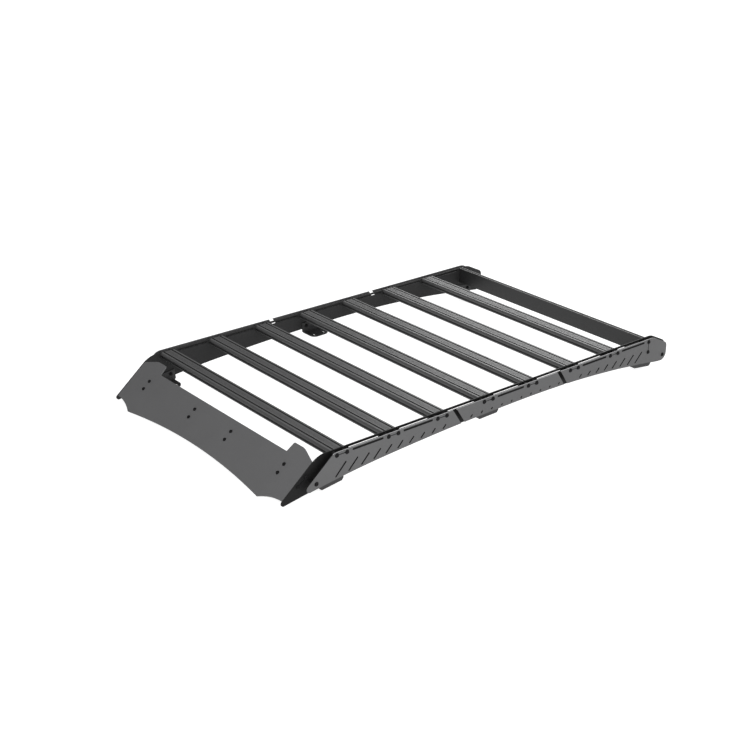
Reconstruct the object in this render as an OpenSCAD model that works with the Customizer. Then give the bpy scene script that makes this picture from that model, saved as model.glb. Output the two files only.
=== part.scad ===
// Flat platform roof rack: slotted arched side plates, T-slot crossbars and a sloping front fairing.
// Millimetres. X runs across the rack, Y from the fairing to the rear, Z up.
// The rack is drawn with the first crossbar at y = 0 and the bar tops at z = 0, then moved so that
// the origin lies under the middle of the whole rack, at its lowest point.

/* [Crossbars] */
// Length of every crossbar, between the inner side plates
bar_length = 1204; // [900:1:1500]
// Distance from one crossbar to the next
bar_pitch = 250; // [200:1:280]
// Number of top crossbars
bar_count = 7; // [7]
// Overall width of the bar section
bar_w = 75; // [70:0.5:82]
// Overall height of the bar section
bar_h = 25; // [24:0.5:28]
// Bevel along the top edges, measured across
bevel_w = 5.5; // [3:0.5:8]
// Bevel along the top edges, measured down
bevel_h = 6.5; // [4:0.5:8]
// Distance from the middle of the bar to a top T-slot
slot_offset = 20; // [19:0.5:21]
// Opening of a T-slot
slot_mouth = 8; // [6:0.5:9]
// Width of a T-slot under its lips
slot_inside = 14; // [12:0.5:15]
// Thickness of the lips of a T-slot
slot_lip = 2.4; // [2:0.1:3]
// Depth of a T-slot from the face of the bar
slot_depth = 7.2; // [6:0.1:7.5]
// Distance from the middle of the bar to a screw bore
bore_offset = 24; // [22:0.5:26]
// Diameter of the screw bores in the bar ends
bore_d = 6.8; // [5:0.1:7]
// Width of the closed chamber in the middle of the bar
chamber_w = 22; // [8:0.5:22]
// Wall over and under the closed chambers
chamber_wall = 2.5; // [2:0.5:4]
// Height of the two small chambers under the screw bores
low_chamber_h = 4; // [2:0.5:4.5]
// Number of fine grooves along the middle of the bar's top
groove_count = 5; // [1:2:7]
// Distance from one fine groove to the next
groove_pitch = 4.2; // [2.5:0.1:4.5]
// Width of a fine groove
groove_w = 1.2; // [0.6:0.1:1.6]
// Depth of a fine groove
groove_depth = 0.7; // [0.3:0.1:1.2]

/* [Side plates] */
// Thickness of an inner side plate
inner_t = 5; // [3:0.5:8]
// Thickness of an outer side panel
outer_t = 3; // [2:0.5:6]
// Gap between the inner plate and the outer panels, bridged by sleeves
plate_gap = 22; // [12:1:30]
// Height of the inner plate under the top of its arch
inner_depth = 78; // [75:0.5:90]
// Height of the outer panels under the top of their arch
outer_depth = 64.5; // [62:0.5:75]
// Number of the crossbar under which the arch is highest
arch_bar = 5; // [4:1:5]
// Distance from the first crossbar to the place where the arch starts to bend more, towards the front
arch_knee_y = 200; // [150:1:250]
// Radius of the inner plate's arch from the knee to the front end
inner_front_r = 4800; // [4500:50:6000]
// Radius of the inner plate's arch from the knee to the arch's top
inner_mid_r = 11500; // [10500:50:13000]
// Radius of the outer panels' arch from the knee to the front end
outer_front_r = 4300; // [4000:50:6000]
// Radius of the outer panels' arch from the knee to the arch's top
outer_mid_r = 12600; // [11000:50:14000]
// Radius of the arch towards the rear
arch_rear_r = 5400; // [5000:20:6200]
// Distance from the rear crossmember's middle to the rear end of the inner plate
inner_tail = 139.5; // [125:0.5:160]
// Distance from the rear crossmember's middle to the rear end of the outer panels
outer_tail = 126.5; // [118:0.5:140]
// Length of the sloping top edge at the rear, measured along the rack
tail_slope_l = 94; // [80:1:110]
// Drop of the sloping top edge at the rear
tail_slope_h = 47; // [35:1:55]
// Rounding where the top edge starts to slope down at the rear
tail_top_r = 80; // [40:1:110]
// Rounding of the upper rear corner
tail_mid_r = 25; // [10:1:35]
// Rounding of the lower rear corner
tail_low_r = 35; // [20:1:45]
// Rounding of the inner plate's pointed front end
inner_tip_r = 11; // [8:0.5:14]
// Rounding of the outer panel's pointed front end
outer_tip_r = 15; // [8:0.5:18]
// Rounding at the front end of the inner plate's top edge
inner_nose_r = 110; // [60:1:120]
// Rounding at the front end of the outer panel's top edge
outer_nose_r = 50; // [20:1:60]
// Distance that the outer panel stays behind the fairing's face
outer_setback = 33; // [28:0.5:45]

/* [Openings in the side plates] */
// Length of a tie-down slot
tie_l = 150; // [100:1:150]
// Height of a tie-down slot
tie_h = 9; // [6:0.5:10]
// Depth of a tie-down slot's middle under the top edge
tie_z = 10; // [9:0.5:11]
// Diameter of the bolt holes in the plates
bolt_hole_d = 9; // [8:0.1:9.5]
// Width of the narrow slot that joins two bolt holes
link_w = 3.6; // [2:0.1:5]
// Width of a slanted slit
slit_w = 7; // [4:0.5:8]
// Depth of the upper ends of the slits under the top edge
slit_top = 49; // [46:0.5:54]
// Distance that the slits stay above the arch
slit_margin = 9; // [8:0.5:12]
// Distance from one slit to the next
slit_pitch = 55.6; // [52:0.1:56]
// Shortest slit, from end to end
slit_min = 11; // [9:0.5:12]
// Slant of the slits from the vertical
slit_angle = 45; // [35:1:50]
// Distance from the first crossbar to the first slit of the front panel
front_slit_y = 20; // [10:0.5:25]
// Distance from the first gap to the first slit of the middle panel
middle_slit_gap = 107; // [99:0.5:112]
// Distance from the second gap to the first slit of the rear panel
rear_slit_gap = 151; // [133:0.5:155]
// Room kept behind the last slit of a panel
slit_end = 13; // [12:0.5:15]
// Width of the slanted gap between two outer panels
joint_w = 20; // [10:0.5:30]
// Distance from the third crossbar to the first gap between the outer panels
first_joint_gap = 56; // [48:0.5:64]
// Distance from the fifth crossbar to the second gap between the outer panels
second_joint_gap = 147; // [140:0.5:155]
// Slant of the gaps from the vertical
joint_angle = 33; // [20:1:38]
// Distance from the first crossbar back to the front lower bolt, towards the fairing
front_low_bolt_y = 121; // [110:0.5:124]
// Distance from the rear crossmember to the rear lower bolt
rear_low_bolt_y = 101.5; // [90:0.5:105]
// Depth of the lower bolts under the top edge
low_bolt_z = 100; // [96:0.5:104]
// Outer diameter of the sleeves between the plates
sleeve_d = 15; // [13:0.5:16]

/* [Rear crossmember] */
// Distance from the last crossbar to the middle of the rear crossmember
rear_gap = 228.5; // [222:0.5:240]

/* [Fairing] */
// Slope of the fairing down from the level
fairing_angle = 39.5; // [38:0.5:42]
// Distance from the first crossbar to the line where the fairing's face meets the bar tops
nose_y = 91.3; // [85:0.1:100]
// Thickness of the fairing
fairing_t = 4; // [2:0.5:6]
// Clearance between the fairing and the inner plates on each side
fairing_fit = 0.3; // [0.1:0.1:1]
// Length of the fairing's face at the middle of its lower edge
fairing_l = 216.5; // [205:0.5:224]
// Radius of the long curve of the lower edge
belly_r = 3300; // [3000:50:4000]
// Distance from the inner plate to the lower corner, where the long curve ends
corner_w = 126; // [110:1:140]
// Height of the short curve that rises from a lower corner to the inner plate
corner_rise = 34; // [24:1:40]
// Radius of the short curves at the lower corners
corner_cut_r = 240; // [220:1:300]
// Depth of the wide notch in the upper edge
notch_depth = 46.5; // [40:0.5:54]
// Width of an ear beside the notch, from the inner plate to the notch's floor
ear_w = 147; // [130:1:180]
// Distance that each notch end leans outwards
notch_lean = 6; // [0:0.5:10]
// Distance from the bar tops down to the tops of the two ears
ear_drop = 2; // [1:0.5:8]
// Width of the slanted outer corner of an ear
ear_slant_w = 78; // [60:1:90]
// Drop of the slanted outer corner of an ear
ear_slant_l = 31; // [20:1:38]
// Rounding at the top of an ear's slanted corner
ear_r = 60; // [20:1:100]
// Rounding of an ear's corner beside the notch
ear_tip_r = 8; // [2:0.5:12]
// Distance down the fairing to the middle of the front crossmember
nose_bar_l = 114.5; // [106:0.5:120]
// Distance from the middle of the fairing to its inner bolts
inner_bolt_x = 131.5; // [90:0.5:200]
// Distance from the inner plate to the fairing's outer bolts
outer_bolt_w = 113.5; // [90:0.5:130]
// Diameter of the fairing's bolt holes
fairing_hole_d = 6.6; // [5:0.1:7]

/* [Feet] */
// Thickness of the foot brackets
foot_t = 5; // [3:0.5:8]
// Length of a foot bracket along the rack
foot_l = 114; // [100:1:130]
// Height of the foot's upright leg over the arch of the inner plate
foot_leg = 30; // [22:1:32]
// Distance that a foot reaches below the arch of the inner plate
foot_drop = 22; // [16:0.5:24]
// Width of a foot's flange
foot_w = 78; // [74:1:95]
// Rounding of the flange's inner corners
foot_corner_r = 28; // [10:1:30]
// Bevel at the ends of the leg's lower edge
foot_bevel = 9; // [4:0.5:12]
// Distance between the two slots of a foot
foot_slot_pitch = 54; // [44:0.5:60]
// Length of a foot slot
foot_slot_l = 25; // [16:0.5:32]
// Width of a foot slot
foot_slot_w = 9; // [6:0.5:11]
// Distance from the leg's outer face to the middle of a foot slot
foot_slot_x = 54; // [44:0.5:60]
// Distance between the two bolts of a foot's leg
foot_bolt_pitch = 70; // [50:0.5:80]
// Height of a foot's bolts over the arch of the inner plate
foot_bolt_z = 15; // [12:0.5:18]
// Distance from the first crossbar back to the front feet, towards the fairing
front_foot_y = 29; // [20:0.5:30]
// Distance from the fourth crossbar to the middle feet
middle_foot_gap = 29; // [0:1:60]
// Distance from the rear crossmember back to the rear feet
rear_foot_gap = 5; // [0:0.5:8]
// Extra height of the rear feet over the arch
rear_foot_rise = 4; // [0:0.5:6]

/* [Hidden] */

$fn = 48;
// Facets of the very large circles, so that their edges stay true to a hundredth
arch_fn = 2400;
// How far a cutter reaches past the faces it cuts
past = 1;
// How far the disc of a rounding crosses the edges that it joins, instead of only touching them
whisker = 0.02;

half_bar = bar_length / 2;
inner_x = half_bar;
gap_x = inner_x + inner_t;
outer_x = gap_x + plate_gap;
rack_half_w = outer_x + outer_t;
function bar_y(i) = i * bar_pitch;
rear_y = bar_y(bar_count - 1) + rear_gap;
arch_y = bar_y(arch_bar - 1);
first_joint_y = bar_y(2) + first_joint_gap;
second_joint_y = bar_y(4) + second_joint_gap;
// Screw bores of the rear crossmember, which stands on edge with its top at the bar tops
rear_mid_z = -bar_w / 2;
inner_end_y = rear_y + inner_tail;
outer_end_y = rear_y + outer_tail;
rear_foot_y = rear_y + rear_foot_gap;

// Lowest level that the side plates could reach, used to size their blanks
blank_z = -400;

// The fairing's long lower curve ends at belly_half, where the face is longest
belly_half = half_bar - corner_w;
belly_l = fairing_l + belly_r - sqrt(belly_r * belly_r - belly_half * belly_half);
fairing_side_l = belly_l - corner_rise;
notch_half = half_bar - ear_w;
outer_bolt_x = half_bar - outer_bolt_w;
fairing_half = half_bar - fairing_fit;
// Front of the whole rack, at the fairing's longest point
front_y = -nose_y - belly_l * cos(fairing_angle);
mid_y = (front_y + inner_end_y) / 2;

// The lower edge of a plate: its depth at the arch's top, then the radii in front of the knee,
// from the knee to the arch's top, and to the rear
inner_arch = [inner_depth, inner_front_r, inner_mid_r, arch_rear_r];
outer_arch = [outer_depth, outer_front_r, outer_mid_r, arch_rear_r];

function unit(v) = v / norm(v);
function arch_radius(y, arch) = y < arch_knee_y ? arch[1] : y < arch_y ? arch[2] : arch[3];
// The front arc touches the middle one at the knee, so its centre lies on the same radius
function arch_centre(y, arch) =
    let (
        top = [arch_y, -arch[0] - arch[2]],
        across = arch_knee_y - arch_y,
        along = [across, sqrt(arch[2] * arch[2] - across * across)] / arch[2]
    )
    y < arch_knee_y ? top + (arch[2] - arch[1]) * along : [arch_y, -arch[0] - arch_radius(y, arch)];
function arch_z(y, arch) =
    let (r = arch_radius(y, arch), c = arch_centre(y, arch))
    c[1] + sqrt(r * r - (y - c[0]) * (y - c[0]));
// Angle of the arch from the level, positive where it rises towards the rear
function arch_tilt(y) = asin((arch_centre(y, inner_arch)[0] - y) / arch_radius(y, inner_arch));

// Direction down the fairing's face, and the normal into the rack, both in y and z
down_face = [-cos(fairing_angle), -sin(fairing_angle)];
into_rack = [sin(fairing_angle), -cos(fairing_angle)];
function on_face(down, behind) = [-nose_y, 0] + down * down_face + behind * into_rack;

// Point where a line that leaves p along the unit vector d enters the circle of radius r round c
function line_circle(p, d, c, r) =
    let (along = (c - p) * d, off = norm(c - p - along * d))
    p + (along - sqrt(r * r - off * off)) * d;

// Lowest level of the rack: the rear lower edge of the fairing where its face is longest
lowest_z = on_face(belly_l, fairing_t)[1];

// Move a piece from the drawing place to its place over the origin
module place() {
    translate([0, -mid_y, -lowest_z]) children();
}

// Round off the corner at v between the edges that leave it along a and b
module trim_corner(v, a, b, r) {
    ua = unit(a);
    ub = unit(b);
    half_angle = acos(ua * ub) / 2;
    inward = unit(ua + ub);
    reach = r / tan(half_angle);
    centre = v + inward * r / sin(half_angle);
    difference() {
        polygon([v - inward, v + reach * ua, v + reach * ub]);
        translate(centre) circle(r + whisker, $fn = 96);
    }
}

// Round off the pointed corner between a straight edge and the arch.
// p is a point on the edge, d its direction towards the corner, and side its normal into the plate.
module trim_tip(p, d, side, r, y, arch) {
    c = arch_centre(y, arch);
    big = arch_radius(y, arch);
    corner = line_circle(p, d, c, big);
    centre = line_circle(p + r * side, d, c, big + r);
    on_edge = centre - r * side;
    up = unit(centre - c);
    on_arch = c + big * up;
    beyond = corner + (corner - centre) * 0.2;
    difference() {
        polygon([beyond, on_edge, on_arch, on_arch - 3 * up]);
        translate(centre) circle(r + whisker, $fn = 96);
    }
}

// Outline of a side plate in y and z, with its arch and rounded ends
module side_outline(arch, setback, end_y, nose_r, tip_r, tip_y) {
    nose = [-nose_y + setback / sin(fairing_angle), 0];
    slope_start = [end_y - tail_slope_l, 0];
    slope_end = [end_y, -tail_slope_h];
    foot_of_nose = nose + down_face * (blank_z / down_face[1]);
    difference() {
        polygon([nose, slope_start, slope_end, [end_y, blank_z], foot_of_nose]);
        arch_cut(arch, tip_y);
        trim_corner(nose, down_face, [1, 0], nose_r);
        trim_corner(slope_start, [-1, 0], slope_end - slope_start, tail_top_r);
        trim_corner(slope_end, slope_start - slope_end, [0, -1], tail_mid_r);
        trim_tip(nose, down_face, into_rack, tip_r, 0, arch);
        trim_tip(slope_end, [0, -1], [-1, 0], tail_low_r, end_y, arch);
    }
}

// The space under the arch: a front disc, a slice of the large middle disc, and a rear disc. The
// middle disc lies a whisker lower, so that the others cross it near the knee and the arch's top.
module arch_cut(arch, tip_y) {
    joint_low_y = first_joint_y + joint_w / 2 + outer_depth * tan(joint_angle);
    arch_disc(tip_y, arch);
    intersection() {
        translate([0, -whisker]) arch_disc(joint_low_y, arch);
        translate([arch_knee_y, 2 * blank_z]) square([arch_y - arch_knee_y, -2 * blank_z]);
    }
    arch_disc(arch_y, arch);
}

// Disc under the arch at y, turned so that two of its facets meet there
module arch_disc(y, arch) {
    r = arch_radius(y, arch);
    c = arch_centre(y, arch);
    translate(c) rotate(90 + asin((c[0] - y) / r)) circle(r, $fn = arch_fn);
}

// Slot with round ends from p to q, in y and z
module round_slot(p, q, w) {
    d = q - p;
    straight_w = w - 2 * whisker;
    translate(p) rotate(atan2(d[1], d[0])) translate([0, -straight_w / 2]) square([norm(d), straight_w]);
    translate(p) circle(d = w);
    translate(q) circle(d = w);
}

// Two bolt holes joined by a narrow slot, centred on c, turned by angle from the level
module bolt_pair(c, angle) {
    d = bore_offset * [cos(angle), sin(angle)];
    round_slot(c - d, c + d, link_w);
    translate(c - d) circle(d = bolt_hole_d);
    translate(c + d) circle(d = bolt_hole_d);
}

// Middles of the tie-down slots, one in each bay
bay_mids = [for (i = [0 : bar_count - 1]) (i + 0.5) * bar_pitch];

module tie_slot(y) {
    reach = (tie_l - tie_h) / 2;
    round_slot([y - reach, -tie_z], [y + reach, -tie_z], tie_h);
}

module bar_bolt_pairs() {
    for (i = [0 : bar_count - 1]) bolt_pair([bar_y(i), -bar_h / 2], 0);
    bolt_pair([rear_y, rear_mid_z], 90);
}

// Where the front tips of the side pieces lie, which are the lowest points of the front ends
inner_tip_y = on_face(fairing_l, 0)[0];
outer_tip_y = inner_tip_y + outer_setback / sin(fairing_angle);

low_bolts = [[-front_low_bolt_y, -low_bolt_z], [rear_y + rear_low_bolt_y, -low_bolt_z]];
nose_bar_mid = on_face(nose_bar_l, fairing_t + bar_h / 2);

// Middles of the bolts in the legs of the foot brackets
middle_foot_y = bar_y(3) + middle_foot_gap;
foot_ys = [-front_foot_y, middle_foot_y, rear_foot_y];
function foot_z(y) = arch_z(y, inner_arch) + (y > arch_y ? rear_foot_rise : 0);
function foot_turn(y, p) =
    let (a = arch_tilt(y))
    [y, foot_z(y)] + [p[0] * cos(a) - p[1] * sin(a), p[0] * sin(a) + p[1] * cos(a)];

// Extrude an outline drawn in y and z along x, from x = start
module along_x(start, t) {
    translate([start, 0, 0]) rotate([90, 0, 90]) linear_extrude(t) children();
}

module inner_plate_shape() {
    difference() {
        side_outline(inner_arch, 0, inner_end_y, inner_nose_r, inner_tip_r, inner_tip_y);
        bar_bolt_pairs();
        bolt_pair(nose_bar_mid, fairing_angle);
        for (y = bay_mids) tie_slot(y);
        for (p = low_bolts) translate(p) circle(d = bolt_hole_d);
        for (y = foot_ys) {
            for (s = [-0.5, 0.5]) {
                translate(foot_turn(y, [s * foot_bolt_pitch, foot_bolt_z])) circle(d = bolt_hole_d);
            }
        }
    }
}

// Slanted slit whose upper end is at y, as long as the arch allows
module slit(y) {
    r = slit_w / 2;
    d = [-sin(slit_angle), -cos(slit_angle)];
    upper = [y, -slit_top];
    guess = upper[1] - arch_z(y, outer_arch) - slit_margin;
    lower_y = y - guess * tan(slit_angle);
    room = (upper[1] - arch_z(lower_y, outer_arch) - slit_margin) / cos(slit_angle);
    length = max(slit_min, room);
    round_slot(upper + r * d, upper + (length - r) * d, slit_w);
}

// One outer panel: the part of the side outline between two limits at the top edge, with as many
// slits as there is room for in front of slit_stop_y
module panel_shape(start_y, stop_y, slit_y, slit_stop_y, tie_ys) {
    slit_total = floor((slit_stop_y - slit_end - slit_y) / slit_pitch) + 1;
    lean = -blank_z * tan(joint_angle);
    start_lean = start_y < 0 ? -lean : lean;
    difference() {
        intersection() {
            side_outline(outer_arch, outer_setback, outer_end_y, outer_nose_r, outer_tip_r, outer_tip_y);
            polygon([[start_y, 0], [stop_y, 0], [stop_y + lean, blank_z], [start_y + start_lean, blank_z]]);
        }
        bar_bolt_pairs();
        for (p = low_bolts) translate(p) circle(d = bolt_hole_d);
        for (i = [0 : slit_total - 1]) slit(slit_y + i * slit_pitch);
        for (y = tie_ys) tie_slot(y);
    }
}

// Bays whose tie-down slot also goes through the outer panels: those with no gap in them
front_ties = [bay_mids[0], bay_mids[1]];
middle_ties = [bay_mids[3]];
rear_ties = [bay_mids[5], bay_mids[6]];
// How far a gap leans back from the top edge to the level of the slits' upper ends
slit_lean = slit_top * tan(joint_angle);

module front_panel_shape() {
    panel_shape(-bar_pitch, first_joint_y, front_slit_y, first_joint_y + slit_lean, front_ties);
}

module middle_panel_shape() {
    panel_shape(first_joint_y + joint_w, second_joint_y, first_joint_y + middle_slit_gap,
        second_joint_y + slit_lean, middle_ties);
}

module rear_panel_shape() {
    panel_shape(second_joint_y + joint_w, inner_end_y + bar_pitch, second_joint_y + rear_slit_gap,
        rear_y, rear_ties);
}

// T-slot cut into a face that lies along u at v = 0, with the bar below it
module t_slot() {
    translate([-slot_mouth / 2, -slot_depth]) square([slot_mouth, slot_depth + past]);
    translate([-slot_inside / 2, -slot_depth]) square([slot_inside, slot_depth - slot_lip]);
}

// Section of every bar: u across, v up, with the top face at v = 0
module bar_section() {
    half = bar_w / 2;
    flat = half - bevel_w;
    side_mid = (bar_h + bevel_h) / 2;
    difference() {
        polygon([
            [-half, -bar_h], [half, -bar_h], [half, -bevel_h],
            [flat, 0], [-flat, 0], [-half, -bevel_h],
        ]);
        for (s = [-1, 1]) {
            translate([s * slot_offset, 0]) t_slot();
            translate([s * half, -side_mid]) rotate(-s * 90) t_slot();
            translate([s * bore_offset, -bar_h / 2]) circle(d = bore_d);
            translate([s * slot_offset - slot_inside / 2, chamber_wall - bar_h])
                square([slot_inside, low_chamber_h]);
        }
        translate([-chamber_w / 2, chamber_wall - bar_h]) square([chamber_w, bar_h - 2 * chamber_wall]);
        for (i = [0 : groove_count - 1]) {
            u = (i - (groove_count - 1) / 2) * groove_pitch;
            translate([u - groove_w / 2, -groove_depth]) square([groove_w, groove_depth + past]);
        }
    }
}

// A bar along x, with its section's top face up and its middle at y = 0
module bar() {
    translate([-half_bar, 0, 0]) rotate([90, 0, 90]) linear_extrude(bar_length) bar_section();
}

module crossbar(i) {
    color([0.3, 0.3, 0.31]) place() translate([0, bar_y(i), 0]) bar();
}

// The front crossmember lies behind the fairing, with its T-slots against it
module front_crossmember() {
    top = on_face(nose_bar_l, fairing_t);
    color([0.24, 0.24, 0.25]) place() translate([0, top[0], top[1]]) rotate([fairing_angle, 0, 0]) bar();
}

// The rear crossmember stands on edge, with its T-slots to the rear
module rear_crossmember() {
    color([0.24, 0.24, 0.25]) place()
        translate([0, rear_y + bar_h / 2, rear_mid_z]) rotate([-90, 0, 0]) bar();
}

// The fairing's outline: x across, w up the face from the level of the bar tops
module fairing_outline() {
    side_w = -fairing_side_l;
    cut_x = corner_centre_x();
    ear_x = fairing_half - ear_slant_w;
    difference() {
        polygon([
            [-fairing_half, side_w - past], [-fairing_half, -ear_drop - ear_slant_l],
            [-fairing_half + ear_slant_w, -ear_drop], [-notch_half - notch_lean, -ear_drop],
            [-notch_half, -notch_depth], [notch_half, -notch_depth],
            [notch_half + notch_lean, -ear_drop], [fairing_half - ear_slant_w, -ear_drop],
            [fairing_half, -ear_drop - ear_slant_l], [fairing_half, side_w - past],
            [belly_half, -belly_l - past], [-belly_half, -belly_l - past],
        ]);
        translate([0, -fairing_l - belly_r]) circle(belly_r, $fn = arch_fn);
        for (s = [-1, 1]) {
            translate([s * cut_x, side_w - corner_cut_r]) circle(corner_cut_r, $fn = 360);
            trim_corner([s * ear_x, -ear_drop], [-s, 0], [s * ear_slant_w, -ear_slant_l], ear_r);
            trim_corner([s * (notch_half + notch_lean), -ear_drop], [s, 0],
                [-s * notch_lean, ear_drop - notch_depth], ear_tip_r);
        }
    }
}

// The short corner curve passes through the end of the long one and is level at its own top
function corner_centre_x() =
    let (rise = corner_cut_r - (belly_l - fairing_side_l))
    belly_half + sqrt(corner_cut_r * corner_cut_r - rise * rise);

module fairing() {
    color([0.37, 0.37, 0.38]) place() translate([0, -nose_y, 0]) rotate([fairing_angle, 0, 0])
        translate([0, 0, -fairing_t]) difference() {
            linear_extrude(fairing_t) fairing_outline();
            for (x = [-outer_bolt_x, -inner_bolt_x, inner_bolt_x, outer_bolt_x]) {
                for (s = [-1, 1]) {
                    translate([x, -nose_bar_l + s * slot_offset, -past])
                        cylinder(d = fairing_hole_d, h = fairing_t + 2 * past);
                }
            }
        }
}

// Right-hand pieces are drawn, and left-hand ones are their mirror images
module on_side(side) {
    if (side < 0) mirror([1, 0, 0]) children();
    else children();
}

module inner_plate(side) {
    color([0.17, 0.17, 0.175]) place() on_side(side) along_x(inner_x, inner_t) inner_plate_shape();
}

module front_panel(side) {
    color([0.4, 0.4, 0.41]) place() on_side(side) along_x(outer_x, outer_t) front_panel_shape();
}

module middle_panel(side) {
    color([0.4, 0.4, 0.41]) place() on_side(side) along_x(outer_x, outer_t) middle_panel_shape();
}

module rear_panel(side) {
    color([0.4, 0.4, 0.41]) place() on_side(side) along_x(outer_x, outer_t) rear_panel_shape();
}

// Places of the sleeves in y and z: at every bolt that holds an outer panel
sleeve_places = concat(
    [for (i = [0 : bar_count - 1], s = [-1, 1]) [bar_y(i) + s * bore_offset, -bar_h / 2]],
    [for (s = [-1, 1]) [rear_y, rear_mid_z + s * bore_offset]],
    low_bolts);

module sleeves(side) {
    color([0.2, 0.2, 0.2]) place() on_side(side) {
        for (p = sleeve_places) {
            translate([gap_x, p[0], p[1]]) rotate([0, 90, 0]) difference() {
                cylinder(d = sleeve_d, h = plate_gap);
                translate([0, 0, -past]) cylinder(d = bolt_hole_d, h = plate_gap + 2 * past);
            }
        }
    }
}

// Foot bracket at y: a leg on the inner plate's inboard face and a flange with two slots
module foot(side, y) {
    a = arch_tilt(y);
    half = foot_l / 2;
    color([0.15, 0.15, 0.155]) place() on_side(side)
        translate([inner_x, y, foot_z(y)]) rotate([a, 0, 0]) {
            difference() {
                along_x(-foot_t, foot_t) polygon([
                    [-half, foot_leg], [-half, foot_bevel - foot_drop], [foot_bevel - half, -foot_drop],
                    [half - foot_bevel, -foot_drop], [half, foot_bevel - foot_drop], [half, foot_leg],
                ]);
                for (s = [-0.5, 0.5]) {
                    translate([-foot_t - past, s * foot_bolt_pitch, foot_bolt_z]) rotate([0, 90, 0])
                        cylinder(d = bolt_hole_d, h = foot_t + 2 * past);
                }
            }
            translate([0, 0, -foot_drop]) linear_extrude(foot_t) flange_shape(half - foot_bevel);
        }
}

// Flange of a foot: x from the leg inwards, y along the rack
module flange_shape(half) {
    difference() {
        translate([-foot_w, -half]) square([foot_w, 2 * half]);
        for (s = [-1, 1]) {
            trim_corner([-foot_w, s * half], [1, 0], [0, -s], foot_corner_r);
            reach = (foot_slot_l - foot_slot_w) / 2;
            c = [-foot_slot_x, s * foot_slot_pitch / 2];
            round_slot(c - [reach, 0], c + [reach, 0], foot_slot_w);
        }
    }
}

crossbar(0);  // crossbar_1
crossbar(1);  // crossbar_2
crossbar(2);  // crossbar_3
crossbar(3);  // crossbar_4
crossbar(4);  // crossbar_5
crossbar(5);  // crossbar_6
crossbar(6);  // crossbar_7
front_crossmember();
rear_crossmember();
fairing();
inner_plate(-1);  // left_inner_plate
inner_plate(1);  // right_inner_plate
front_panel(-1);  // left_front_panel
middle_panel(-1);  // left_middle_panel
rear_panel(-1);  // left_rear_panel
front_panel(1);  // right_front_panel
middle_panel(1);  // right_middle_panel
rear_panel(1);  // right_rear_panel
sleeves(-1);  // left_sleeves
sleeves(1);  // right_sleeves
foot(-1, -front_foot_y);  // left_front_foot
foot(-1, middle_foot_y);  // left_middle_foot
foot(-1, rear_foot_y);  // left_rear_foot
foot(1, -front_foot_y);  // right_front_foot
foot(1, middle_foot_y);  // right_middle_foot
foot(1, rear_foot_y);  // right_rear_foot
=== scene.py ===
"""Flat platform roof rack: powder-coated plates, slotted bars and black bolts, on a pale floor."""

import math

import bmesh
import bpy
from mathutils import Matrix, Vector


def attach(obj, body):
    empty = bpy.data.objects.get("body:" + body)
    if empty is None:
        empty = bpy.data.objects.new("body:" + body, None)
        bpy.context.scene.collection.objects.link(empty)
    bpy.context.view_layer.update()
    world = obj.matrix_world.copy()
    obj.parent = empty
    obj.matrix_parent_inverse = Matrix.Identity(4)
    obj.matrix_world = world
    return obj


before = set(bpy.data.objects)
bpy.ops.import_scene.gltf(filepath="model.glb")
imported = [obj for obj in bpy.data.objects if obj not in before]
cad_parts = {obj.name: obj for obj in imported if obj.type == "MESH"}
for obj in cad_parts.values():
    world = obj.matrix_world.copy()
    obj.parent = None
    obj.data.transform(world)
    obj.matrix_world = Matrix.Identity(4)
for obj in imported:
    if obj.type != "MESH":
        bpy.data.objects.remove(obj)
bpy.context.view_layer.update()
scene = bpy.context.scene

# Measured y and z places are in millimetres, with the first crossbar's middle at y = 0 and the bar
# tops at z = 0. MID_Y and LOW_Z move them into the row frame. Places along x, and the sizes of bolts,
# are in metres.
MID_Y, LOW_Z = 791.507, -162.749

# The crossbars' number, pitch and height, and the distance from a bar's middle to its screws
BARS, BAR_PITCH, BAR_H, BORE = 7, 250.0, 25.0, 24.0
REAR_Y, REAR_MID_Z = 1728.5, -37.5

# The fairing's slope, the place ahead of the first bar where its face starts, and its thickness
FAIRING_ANGLE = math.radians(39.5)
NOSE_Y, FAIRING_T = 91.3, 4.0
# Down the fairing's face to the front crossmember's middle, and the bolts round that line
MEMBER_DOWN = 114.5
FAIRING_BOLT_X, FAIRING_BOLT_DOWN = (-488.5, -131.5, 131.5, 488.5), (-20, 20)

# x of the inner plates' two faces and of the outer panels' outboard face
INNER_X, GAP_X, SIDE_X = 0.602, 0.607, 0.632

# The inner plates' arch: its depth, where it bends and where it is highest, and its three radii
ARCH_DEPTH, KNEE_Y, ARCH_Y = 78.0, 200.0, 1000.0
FRONT_R, MID_R, REAR_R = 4800.0, 11500.0, 5400.0

# The feet: each one's middle and its height over the arch, the bolts' places along and above the
# arch, and the leg's thickness in metres
FEET = ((-29.0, 0.0), (779.0, 0.0), (REAR_Y + 5, 4.0))
FOOT_BOLT_ALONG, FOOT_BOLT_UP = 35.0, 15.0
LEG_T = 0.005

# The y and z of the bolts through the outer panels: the bars' and rear crossmember's, and a low one
# near each end
PANEL_BOLTS = [(BAR_PITCH * i + s * BORE, -BAR_H / 2) for i in range(BARS) for s in (-1, 1)]
PANEL_BOLTS += [(REAR_Y, REAR_MID_Z + s * BORE) for s in (-1, 1)]
LOW_BOLTS = [(-121.0, -100.0), (REAR_Y + 101.5, -100.0)]

# Tie-down slots: length, height, depth of their middle under the bar tops, and the bays in which the
# outer panels have one
TIE_L, TIE_H, TIE_Z = 150.0, 9.0, 10.0
SLOT_TOP, SLOT_LOW = TIE_H / 2 - TIE_Z, -TIE_H / 2 - TIE_Z
PANEL_BAYS = (0, 1, 3, 5, 6)

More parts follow.
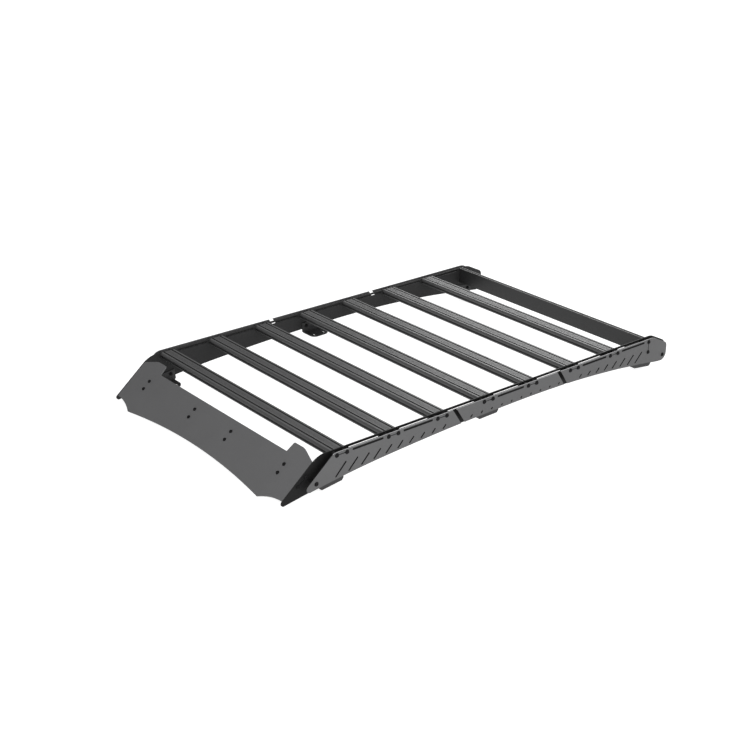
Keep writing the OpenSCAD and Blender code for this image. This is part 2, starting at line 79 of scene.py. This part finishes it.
# x of the two faces of the strips, backings and lips in the slots, and the lips' height
STRIP_X = (SIDE_X - 0.0019, SIDE_X - 0.0009)
BACKING_X = (SIDE_X - 0.0028, SIDE_X - 0.0019)
LIP_X = (INNER_X + 0.0002, GAP_X - 0.0002)
LIP_H = 3.3

# Painted highlight and painted shade that go by place, matched to the photograph's shade: the
# height in metres over which a panel's cut edge counts as its top edge and gets a painted
# highlight, how much of its tone a lower narrow face loses as painted shade, the x past which an
# inner plate's face counts as outboard, and how much of its tone that face loses as painted shade
HIGHLIGHT_Z, NARROW_SHADE = 0.1585, 0.85
PAINTED_SHADE_X, OUTBOARD_SHADE = 0.6062, 0.7


def place(y, z):
    """A measured y and z in millimetres, as y and z of the row frame in metres."""
    return (y - MID_Y) / 1000, (z - LOW_Z) / 1000


def on_face(down, behind):
    """The y and z of a point that lies down the fairing's face and behind it."""
    return (-NOSE_Y - down * math.cos(FAIRING_ANGLE) + behind * math.sin(FAIRING_ANGLE),
            -down * math.sin(FAIRING_ANGLE) - behind * math.cos(FAIRING_ANGLE))


def arch_at(y):
    """The height and the slope of the inner plates' arch at a measured y."""
    r = FRONT_R if y < KNEE_Y else MID_R if y < ARCH_Y else REAR_R
    cy, cz = ARCH_Y, -ARCH_DEPTH - r
    if y < KNEE_Y:
        across = (KNEE_Y - ARCH_Y) / MID_R
        cy = ARCH_Y + (MID_R - r) * across
        cz = -ARCH_DEPTH - MID_R + (MID_R - r) * math.sqrt(1 - across * across)
    return cz + math.sqrt(r * r - (y - cy) ** 2), math.asin((cy - y) / r)


# Camera, solved from the photograph: focal length and picture width in pixels, place in metres from
# the measured origin, and its turn round, its look down and a small roll in degrees
FOCAL_PX, WIDTH_PX = 1377.5, 750
CAMERA_X, CAMERA_Y, CAMERA_Z = 4.2544, -2.7934, 2.3255
CAMERA_ROUND, CAMERA_DOWN, CAMERA_ROLL = 50.83, 23.811, 0.0225

cam_data = bpy.data.cameras.new("camera")
cam_data.sensor_width = 36.0
cam_data.lens = FOCAL_PX / WIDTH_PX * 36
cam_data.clip_end = 60
cam = bpy.data.objects.new("camera", cam_data)
scene.collection.objects.link(cam)
cam.location = (CAMERA_X, CAMERA_Y - MID_Y / 1000, CAMERA_Z - LOW_Z / 1000)
cam.rotation_euler = (Matrix.Rotation(math.radians(CAMERA_ROUND), 3, "Z")
                      @ Matrix.Rotation(math.radians(90 - CAMERA_DOWN), 3, "X")
                      @ Matrix.Rotation(math.radians(CAMERA_ROLL), 3, "Z")).to_euler()
scene.camera = cam


# Materials
class Nodes:
    """A material's node tree, with a short way to add nodes and links."""

    def __init__(self, name):
        self.material = bpy.data.materials.new(name)
        self.material.use_nodes = True
        self.tree = self.material.node_tree
        self.shader = self.tree.nodes["Principled BSDF"]

    def add(self, kind, **values):
        """A new node, with its attributes or inputs set."""
        node = self.tree.nodes.new(kind)
        for key, value in values.items():
            if hasattr(node, key):
                setattr(node, key, value)
            else:
                node.inputs[key].default_value = value
        return node

    def link(self, a, b):
        self.tree.links.new(a, b)

    def maths(self, operation, *values):
        """The result of a Math node that takes these numbers and outputs."""
        node = self.add("ShaderNodeMath", operation=operation)
        for socket, value in zip(node.inputs, values):
            if isinstance(value, (int, float)):
                socket.default_value = value
            else:
                self.link(value, socket)
        return node.outputs[0]

    def split(self, vector):
        """The X, Y and Z outputs of a vector."""
        node = self.add("ShaderNodeSeparateXYZ")
        self.link(vector, node.inputs[0])
        return node.outputs

    def colour(self, grey, level):
        """Base colour: a faintly blue grey times the level."""
        scale = self.add("ShaderNodeVectorMath", operation="SCALE")
        scale.inputs[0].default_value = (grey, grey, grey * 1.02)
        self.link(level, scale.inputs["Scale"])
        self.link(scale.outputs[0], self.shader.inputs["Base Color"])

    def surface(self, rough, specular, height, strength, depth):
        """Roughness, specular level and bump. Gives back the finished material."""
        self.link(rough, self.shader.inputs["Roughness"])
        self.shader.inputs["Specular IOR Level"].default_value = specular
        bump = self.add("ShaderNodeBump", Strength=strength, Distance=depth)
        self.link(height, bump.inputs["Height"])
        self.link(bump.outputs[0], self.shader.inputs["Normal"])
        return self.material


def coat(name, grey, roughness=0.55, specular=0.4, edge=0.0, painted_shade_x=0.0):
    """Powder coat: fine orange peel and faint unevenness of tone. Given an edge factor, a plate's cut
    top edge gets a painted highlight, lighter by that factor, and its other narrow faces get painted
    shade. Given an x, the faces further out than that get painted shade too."""
    n = Nodes(name)
    coords = n.add("ShaderNodeTexCoord").outputs["Object"]
    cloud = n.add("ShaderNodeTexNoise", Scale=7.0, Detail=3.0, Roughness=0.6)
    grain = n.add("ShaderNodeTexNoise", Scale=900.0, Detail=2.0, Roughness=0.55)
    peel = n.add("ShaderNodeTexVoronoi", feature="SMOOTH_F1", Scale=520.0, Smoothness=0.8)
    for tex in (cloud, grain, peel):
        n.link(coords, tex.inputs["Vector"])
    tone = n.maths("MULTIPLY_ADD", cloud.outputs["Fac"], 0.16, 0.92)
    speck = n.maths("MULTIPLY_ADD", grain.outputs["Fac"], 0.22, 0.89)
    level = n.maths("MULTIPLY", tone, speck)
    at = n.split(coords)
    # Painted highlight on a panel's cut top edge, and painted shade on its other narrow faces: slit and
    # hole walls and lower edges
    if edge > 0:
        normal = n.split(n.add("ShaderNodeNewGeometry").outputs["True Normal"])
        narrow = n.maths("LESS_THAN", n.maths("ABSOLUTE", normal["X"]), 0.5)
        on_top = n.maths("GREATER_THAN", at["Z"], HIGHLIGHT_Z)
        painted_light = n.maths("MULTIPLY_ADD", on_top, edge + NARROW_SHADE, -NARROW_SHADE)
        level = n.maths("MULTIPLY", level, n.maths("MULTIPLY_ADD", narrow, painted_light, 1.0))
    # Painted shade on the inner plates' outboard faces, which lie in the gap behind the outer panels
    if painted_shade_x > 0:
        outboard = n.maths("GREATER_THAN", n.maths("ABSOLUTE", at["X"]), painted_shade_x)
        level = n.maths("MULTIPLY", level, n.maths("MULTIPLY_ADD", outboard, -OUTBOARD_SHADE, 1.0))
    n.colour(grey, level)
    rough = n.maths("MULTIPLY_ADD", grain.outputs["Fac"], 0.16, roughness - 0.08)
    fine = n.maths("MULTIPLY", grain.outputs["Fac"], 0.5)
    return n.surface(rough, specular, n.maths("ADD", peel.outputs["Distance"], fine), 0.35, 0.0004)


def drawn_metal(name, grey, roughness=0.42, specular=0.45):
    """Coated extrusion: faint die lines along the bar under a satin coat."""
    n = Nodes(name)
    coords = n.add("ShaderNodeTexCoord").outputs["Object"]
    stretch = n.add("ShaderNodeMapping", Scale=(3.0, 1100.0, 1100.0))
    n.link(coords, stretch.inputs["Vector"])
    lines = n.add("ShaderNodeTexNoise", Scale=1.0, Detail=3.0, Roughness=0.6)
    n.link(stretch.outputs[0], lines.inputs["Vector"])
    cloud = n.add("ShaderNodeTexNoise", Scale=5.0, Detail=2.0)
    grain = n.add("ShaderNodeTexNoise", Scale=1100.0, Detail=2.0)
    for tex in (cloud, grain):
        n.link(coords, tex.inputs["Vector"])
    tone = n.maths("MULTIPLY_ADD", lines.outputs["Fac"], 0.36, 0.82)
    soft = n.maths("MULTIPLY_ADD", cloud.outputs["Fac"], 0.2, 0.9)
    n.colour(grey, n.maths("MULTIPLY", tone, soft))
    rough = n.maths("MULTIPLY_ADD", lines.outputs["Fac"], 0.2, roughness - 0.1)
    fine = n.maths("MULTIPLY", grain.outputs["Fac"], 0.4)
    return n.surface(rough, specular, n.maths("ADD", lines.outputs["Fac"], fine), 0.3, 0.0002)


def bolt_steel(name):
    """Black-oxide steel with a fine mottle."""
    n = Nodes(name)
    coords = n.add("ShaderNodeTexCoord").outputs["Object"]
    grain = n.add("ShaderNodeTexNoise", Scale=700.0, Detail=3.0)
    n.link(coords, grain.inputs["Vector"])
    ramp = n.add("ShaderNodeValToRGB")
    ramp.color_ramp.elements[0].color = (0.002, 0.002, 0.002, 1)
    ramp.color_ramp.elements[1].color = (0.012, 0.012, 0.013, 1)
    n.link(grain.outputs["Fac"], ramp.inputs["Fac"])
    n.link(ramp.outputs[0], n.shader.inputs["Base Color"])
    rough = n.maths("MULTIPLY_ADD", grain.outputs["Fac"], 0.2, 0.42)
    return n.surface(rough, 0.1, grain.outputs["Fac"], 0.15, 0.0002)


FAIRING = coat("fairing_coat", 0.107)
# Panels: painted highlight on the cut top edge, painted shade on the other narrow faces
PANEL = coat("panel_coat", 0.077, edge=4.5)
# Inner plates: painted shade on the outboard faces
INNER = coat("inner_plate_coat", 0.022, specular=0.12, painted_shade_x=PAINTED_SHADE_X)
# Black of the slot strips and lips: a guessed rubber, and painted shade where the open slots hold only
# shade
RUBBER_AND_SHADE = coat("slot_rubber_and_shade", 0.006, roughness=0.8, specular=0.1)
FOOT = coat("foot_coat", 0.028, specular=0.3)
SLEEVE = coat("sleeve_coat", 0.012, specular=0.3)
BAR = drawn_metal("crossbar_coat", 0.055)
MEMBER = drawn_metal("crossmember_coat", 0.015, specular=0.35)
STEEL = bolt_steel("bolt_steel")

# The material of each CAD node, by a word in its name
COATS = {"crossbar": BAR, "crossmember": MEMBER, "fairing": FAIRING, "panel": PANEL,
         "inner_plate": INNER, "foot": FOOT, "sleeves": SLEEVE}

for name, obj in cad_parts.items():
    material = next(coating for word, coating in COATS.items() if word in name)
    for slot in obj.material_slots:
        slot.material = material
    if not obj.material_slots:
        obj.data.materials.append(material)


# Bolts, nuts and washers. A turned form has SEG points round it, and a washer sinks a little into
# its seat, so that no two faces lie in one plane.
SEG = 24
SINK = -0.0002
HEAD_R, HEAD_H, FAIRING_HEAD_R = 0.0074, 0.0040, 0.0062
DOME_STEPS, DOME_END = 5, math.radians(62)
NUT_R, NUT_H = 0.0065, 0.0065
SHARP = math.radians(32)
SPIN = 12.9898


def ring(bm, matrix, radius, height, hexagon=False):
    """A ring of points round the local z axis, on a circle or on a hexagon of that inner radius."""
    points = []
    for i in range(SEG):
        a = 2 * math.pi * i / SEG
        r = radius
        if hexagon:
            r = radius / math.cos((a + math.pi / 6) % (math.pi / 3) - math.pi / 6)
        points.append(bm.verts.new(matrix @ Vector((r * math.cos(a), r * math.sin(a), height))))
    return points


def stack(bm, matrix, steps):
    """A closed turned form from the seat to the middle of the top. Each step is a radius and a
    height, with True where it is a hexagon."""
    rings = [ring(bm, matrix, *step) for step in steps]
    bm.faces.new(list(reversed(rings[0])))
    for low, high in zip(rings, rings[1:]):
        for i in range(SEG):
            j = (i + 1) % SEG
            bm.faces.new((low[i], low[j], high[j], high[i]))
    bm.faces.new(rings[-1])


def button_head(bm, matrix, r=HEAD_R):
    """Low domed head with a hexagon socket, on a thin washer."""
    stack(bm, matrix, [(r * 1.24, SINK), (r * 1.24, 0.0009), (r * 1.18, 0.0012), (r * 0.7, 0.0012)])
    steps = [(r, 0.0008), (r, 0.0016)]
    for k in range(1, DOME_STEPS + 1):
        a = k / DOME_STEPS * DOME_END
        steps.append((r * (0.52 + 0.48 * math.cos(a)), 0.0016 + (HEAD_H - 0.0004) * math.sin(a)))
    top = steps[-1][1]
    steps += [(r * 0.45, top, True), (r * 0.43, top - 0.0004, True), (r * 0.43, top - 0.0022, True)]
    stack(bm, matrix, steps)


def nut(bm, matrix):
    """Hexagon nut with chamfered corners, on a washer, with the bolt's end showing."""
    r, h = NUT_R, NUT_H
    stack(bm, matrix, [(r * 1.3, SINK), (r * 1.3, 0.0012), (r * 0.8, 0.0012)])
    stack(bm, matrix, [(r, 0.001), (r, 0.0018, True), (r, h - 0.0008, True), (r * 0.97, h),
                       (r * 0.62, h), (r * 0.6, h + 0.0018), (r * 0.5, h + 0.0023)])


def facing(direction, point, spin=0.0):
    """A matrix whose local z axis is the direction, at the point."""
    turn = Vector(direction).to_track_quat("Z", "Y").to_matrix().to_4x4()
    return Matrix.Translation(Vector(point)) @ turn @ Matrix.Rotation(spin, 4, "Z")


def spin_of(*numbers):
    """A different turn of the socket for each bolt, as hands leave them."""
    return sum(n * SPIN for n in numbers) % (math.pi / 3)


def piece(name, build, material=STEEL):
    """One mesh object that rides on the rack."""
    mesh = bpy.data.meshes.new(name)
    bm = bmesh.new()
    build(bm)
    bmesh.ops.recalc_face_normals(bm, faces=bm.faces)
    bm.to_mesh(mesh)
    bm.free()
    obj = bpy.data.objects.new(name, mesh)
    scene.collection.objects.link(obj)
    mesh.materials.append(material)
    mesh.set_sharp_from_angle(angle=SHARP)
    for poly in mesh.polygons:
        poly.use_smooth = True
    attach(obj, "root")


def fairing_bolts(bm):
    """Pairs of bolts through the fairing into the front crossmember."""
    normal = (0, -math.sin(FAIRING_ANGLE), math.cos(FAIRING_ANGLE))
    for x in FAIRING_BOLT_X:
        for s in FAIRING_BOLT_DOWN:
            y, z = place(*on_face(MEMBER_DOWN + s, 0))
            button_head(bm, facing(normal, (x / 1000, y, z), spin_of(x, s)), FAIRING_HEAD_R)


def side_bolts(side):
    """Bolts on the outer panels' outboard face."""
    def build(bm):
        for y, z in PANEL_BOLTS + LOW_BOLTS:
            py, pz = place(y, z)
            button_head(bm, facing((side, 0, 0), (side * SIDE_X, py, pz), spin_of(y, z)))
    return build


def plate_bolts(side):
    """Bolts on the inner plate's outboard face: the front crossmember's and the feet's."""
    def build(bm):
        y0, z0 = on_face(MEMBER_DOWN, FAIRING_T + BAR_H / 2)
        for s in (-BORE, BORE):
            py, pz = place(y0 + s * math.cos(FAIRING_ANGLE), z0 + s * math.sin(FAIRING_ANGLE))
            button_head(bm, facing((side, 0, 0), (side * GAP_X, py, pz), spin_of(y0, s)))
        for y, z in foot_bolts():
            button_head(bm, facing((side, 0, 0), (side * GAP_X, y, z), spin_of(y, z)))
    return build


def foot_bolts():
    """Places of the feet's leg bolts in the row frame, from the arch that the feet follow."""
    places = []
    for foot_y, rise in FEET:
        z, a = arch_at(foot_y)
        for s in (-FOOT_BOLT_ALONG, FOOT_BOLT_ALONG):
            along = s * math.cos(a) - FOOT_BOLT_UP * math.sin(a)
            up = s * math.sin(a) + FOOT_BOLT_UP * math.cos(a)
            places.append(place(foot_y + along, z + rise + up))
    return places


def plate_nuts(side):
    """Nuts inboard: on the feet's legs and behind the lower bolts."""
    def build(bm):
        for y, z in foot_bolts():
            nut(bm, facing((-side, 0, 0), (side * (INNER_X - LEG_T), y, z), spin_of(y)))
        for y, z in LOW_BOLTS:
            py, pz = place(y, z)
            nut(bm, facing((-side, 0, 0), (side * INNER_X, py, pz), spin_of(z)))
    return build


def strip(bm, side, y, faces_x, low):
    """A round-ended strip as long as a tie-down slot, from the slot's top down to low."""
    r, mid = (SLOT_TOP - low) / 2, (SLOT_TOP + low) / 2
    outline = []
    for i in range(2 * SEG):
        a = 2 * math.pi * i / (2 * SEG)
        shift = math.copysign(TIE_L / 2 - r, math.cos(a))
        outline.append(place(y + r * math.cos(a) + shift, mid + r * math.sin(a)))
    near, far = [[bm.verts.new((side * x, py, pz)) for py, pz in outline] for x in faces_x]
    bm.faces.new(list(reversed(near)))
    bm.faces.new(far)
    for i in range(len(outline)):
        j = (i + 1) % len(outline)
        bm.faces.new((near[i], near[j], far[j], far[i]))


def slot_strips(side, bays, faces_x, low):
    """The same strip in the tie-down slots of these bays."""
    def build(bm):
        for bay in bays:
            strip(bm, side, (bay + 0.5) * BAR_PITCH, faces_x, low)
    return build


# No light comes through the outer panels' slots on the far side of the photograph. So a black strip
# and a backing close each of them here, on both sides, and a black lip narrows each inner slot. They
# are a guess, for the likeness: in the solids and in the record's openings these slots are open. The
# black of the strips and lips is partly a guessed rubber infill and partly painted shade, a dark
# sheet where the open slots hold only shade.
piece("fairing_bolts", fairing_bolts)
for word, side in (("left", -1), ("right", 1)):
    infill = slot_strips(side, PANEL_BAYS, STRIP_X, SLOT_LOW)
    backing = slot_strips(side, PANEL_BAYS, BACKING_X, SLOT_LOW)
    lip = slot_strips(side, range(BARS), LIP_X, SLOT_TOP - LIP_H)
    piece(word + "_panel_bolts", side_bolts(side))
    piece(word + "_plate_bolts", plate_bolts(side))
    piece(word + "_plate_nuts", plate_nuts(side))
    piece(word + "_slot_strips", infill, RUBBER_AND_SHADE)
    piece(word + "_slot_backings", backing, PANEL)
    piece(word + "_slot_lips", lip, RUBBER_AND_SHADE)


# Floor and light. The floor gives off light of its own, to be as white as the photograph's ground.
FLOOR, FLOOR_Z = 40, -0.0005
WHITE = (1, 1, 1, 1)

floor_mesh = bpy.data.meshes.new("floor")
floor_mesh.from_pydata([(x * FLOOR, y * FLOOR, FLOOR_Z) for x, y in ((-1, -1), (1, -1), (1, 1), (-1, 1))],
                       [], [(0, 1, 2, 3)])
floor = bpy.data.objects.new("floor", floor_mesh)
scene.collection.objects.link(floor)
pale = Nodes("floor_pale")
pale.shader.inputs["Base Color"].default_value = (0.5, 0.5, 0.5, 1)
pale.shader.inputs["Roughness"].default_value = 0.9
pale.shader.inputs["Emission Color"].default_value = WHITE
pale.shader.inputs["Emission Strength"].default_value = 0.85
floor_mesh.materials.append(pale.material)

world = bpy.data.worlds.new("studio")
world.use_nodes = True
world.node_tree.nodes["Background"].inputs["Color"].default_value = WHITE
world.node_tree.nodes["Background"].inputs["Strength"].default_value = 0.5
scene.world = world
scene.view_settings.view_transform = "Standard"


def area_light(name, location, target, size, power):
    """A rectangular light that faces its target, with its size in metres and its power in watts."""
    data = bpy.data.lights.new(name, "AREA")
    data.shape = "RECTANGLE"
    data.size, data.size_y = size
    data.energy = power
    light = bpy.data.objects.new(name, data)
    light.location = location
    light.rotation_euler = (Vector(target) - Vector(location)).to_track_quat("-Z", "Y").to_euler()
    scene.collection.objects.link(light)


area_light("top_light", (0.3, 0.6, 4.5), (0, 0.1, 0), (5.0, 5.0), 30)
area_light("side_light", (5.0, 1.4, 1.6), (0, 0.2, 0), (4.0, 3.0), 80)
area_light("front_light", (2.4, -2.2, 1.9), (0, -0.6, 0.1), (1.4, 1.2), 40)
area_light("rear_light", (-4.0, 6.15, 3.2), (0, 0.2, 0), (4.5, 3.0), 190)
